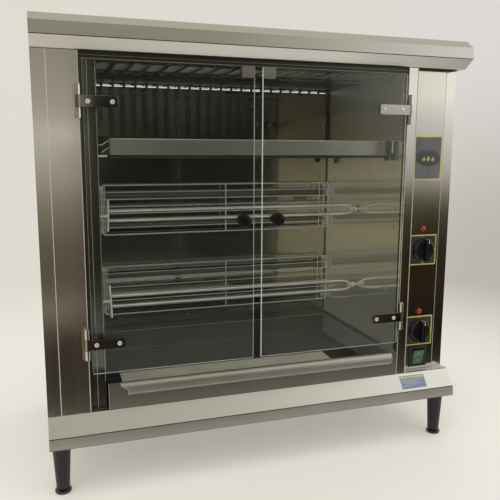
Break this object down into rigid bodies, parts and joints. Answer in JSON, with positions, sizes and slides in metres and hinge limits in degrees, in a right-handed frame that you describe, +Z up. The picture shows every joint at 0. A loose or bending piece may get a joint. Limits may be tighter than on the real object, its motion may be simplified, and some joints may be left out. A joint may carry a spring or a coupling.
{
  "type": "rotisserie oven",
  "caption": "Free-standing electric rotisserie oven: steel cabinet on legs, twin glass doors, motor-driven double-rod spits, drip tray and regulator knobs.",
  "frame": {"origin": "middle of the outer footprint at the level of the feet's soles", "axes": "+Z up, +X to the right seen from the doors, the doors face -Y"},
  "size_m": [0.85, 0.476, 0.853],
  "materials": {
    "steel_brushed": "brushed, grain along the length of each sheet",
    "steel_inner": "fine satin",
    "steel_polished": "bright annealed, nearly mirror-like",
    "bright_wire": "bright wire and turned parts",
    "heater_quartz": "milky quartz tube",
    "ceramic_white": "unglazed",
    "motor_grey": "satin",
    "black_phenolic": "moulded, slightly glossy",
    "black_plastic": "fine grain",
    "lamp_red": "clear coloured lens",
    "label_plate": "printed plate with a coloured border",
    "label_foil": "printed foil",
    "rocker_green": "moulded",
    "door_glass": "clear toughened glass with ground edges",
    "hinge_black": "polished dark plate"
  },
  "bodies": {
    "cabinet": {"top_cap": "steel_brushed", "front_header": "steel_inner", "base_frame": "steel_brushed", "base_apron": "steel_brushed", "base_deck": "steel_inner", "rear_panel": "steel_brushed", "left_side_panel": "steel_brushed", "left_post_cover": "steel_brushed", "left_wall": "steel_polished", "right_side_panel": "steel_brushed", "right_inner_post": "steel_brushed", "control_panel": "steel_inner", "right_wall": "steel_polished", "back_wall": "steel_polished", "ceiling_panel": "steel_polished", "upper_gussets": "steel_polished", "panel_screws": "bright_wire", "upper_tray": "steel_inner", "upper_tray_supports": "bright_wire", "reflectors": "steel_polished", "heater_tubes": "heater_quartz", "heater_holders": "ceramic_white", "guard_upper": "bright_wire", "guard_lower": "bright_wire", "spit_bearings": "bright_wire", "gearmotors": "motor_grey", "regulators": "black_phenolic", "indicator_lamps": "lamp_red", "panel_plates": "label_plate", "rating_label": "label_foil", "rocker_housing": "black_plastic", "hinge_leaves": "bright_wire", "hinge_pins": "bright_wire", "door_catches": "bright_wire", "tray_runners": "steel_inner", "legs": "black_plastic", "cable_gland": "black_plastic", "terminal_block": "ceramic_white"},
    "door_left": {"glass_left": "door_glass", "straps_left": "hinge_black", "door_screws_left": "bright_wire", "door_knob_left": "black_phenolic", "strike_left": "steel_inner"},
    "door_right": {"glass_right": "door_glass", "straps_right": "hinge_black", "door_screws_right": "bright_wire", "door_knob_right": "black_phenolic", "strike_right": "steel_inner"},
    "drip_tray_unit": {"drip_tray": "steel_polished", "drip_tray_handle": "steel_brushed"},
    "spit_hi": {"spit_upper": "bright_wire"},
    "spit_lo": {"spit_lower": "bright_wire"},
    "regulator_knob_hi": {"knob_upper": "black_plastic"},
    "regulator_knob_lo": {"knob_lower": "black_plastic"},
    "rocker_key": {"rocker": "rocker_green"},
    "foot_fl": {"foot_front_left": "black_plastic"},
    "foot_fr": {"foot_front_right": "black_plastic"},
    "foot_rl": {"foot_rear_left": "black_plastic"},
    "foot_rr": {"foot_rear_right": "black_plastic"}
  },
  "joints": [
    {"name": "door_left_swing", "type": "hinge", "parent": "cabinet", "child": "door_left", "pos_m": [-0.351, -0.2065, 0.5], "axis": [0, 0, -1], "range_deg": [0, 120]},
    {"name": "door_right_swing", "type": "hinge", "parent": "cabinet", "child": "door_right", "pos_m": [0.297, -0.2065, 0.5], "axis": [0, 0, 1], "range_deg": [0, 120]},
    {"name": "drip_tray_slide", "type": "slide", "parent": "cabinet", "child": "drip_tray_unit", "axis": [0, -1, 0], "range_m": [0, 0.32]},
    {"name": "spit_upper_turn", "type": "hinge", "parent": "cabinet", "child": "spit_hi", "pos_m": [0, 0.005, 0.4945], "axis": [1, 0, 0], "continuous": true},
    {"name": "spit_lower_turn", "type": "hinge", "parent": "cabinet", "child": "spit_lo", "pos_m": [0, 0.005, 0.3095], "axis": [1, 0, 0], "continuous": true},
    {"name": "knob_upper_turn", "type": "hinge", "parent": "cabinet", "child": "regulator_knob_hi", "pos_m": [0.362, -0.19, 0.42], "axis": [0, 1, 0], "range_deg": [0, 270]},
    {"name": "knob_lower_turn", "type": "hinge", "parent": "cabinet", "child": "regulator_knob_lo", "pos_m": [0.362, -0.19, 0.239], "axis": [0, 1, 0], "range_deg": [0, 270]},
    {"name": "rocker_tilt", "type": "hinge", "parent": "cabinet", "child": "rocker_key", "pos_m": [0.362, -0.175, 0.178], "axis": [-1, 0, 0], "range_deg": [0, 14]},
    {"name": "foot_fl_screw_out", "type": "slide", "parent": "cabinet", "child": "foot_fl", "axis": [0, 0, -1], "range_m": [0, 0.015]},
    {"name": "foot_fr_screw_out", "type": "slide", "parent": "cabinet", "child": "foot_fr", "axis": [0, 0, -1], "range_m": [0, 0.015]},
    {"name": "foot_rl_screw_out", "type": "slide", "parent": "cabinet", "child": "foot_rl", "axis": [0, 0, -1], "range_m": [0, 0.015]},
    {"name": "foot_rr_screw_out", "type": "slide", "parent": "cabinet", "child": "foot_rr", "axis": [0, 0, -1], "range_m": [0, 0.015]}
  ]
}
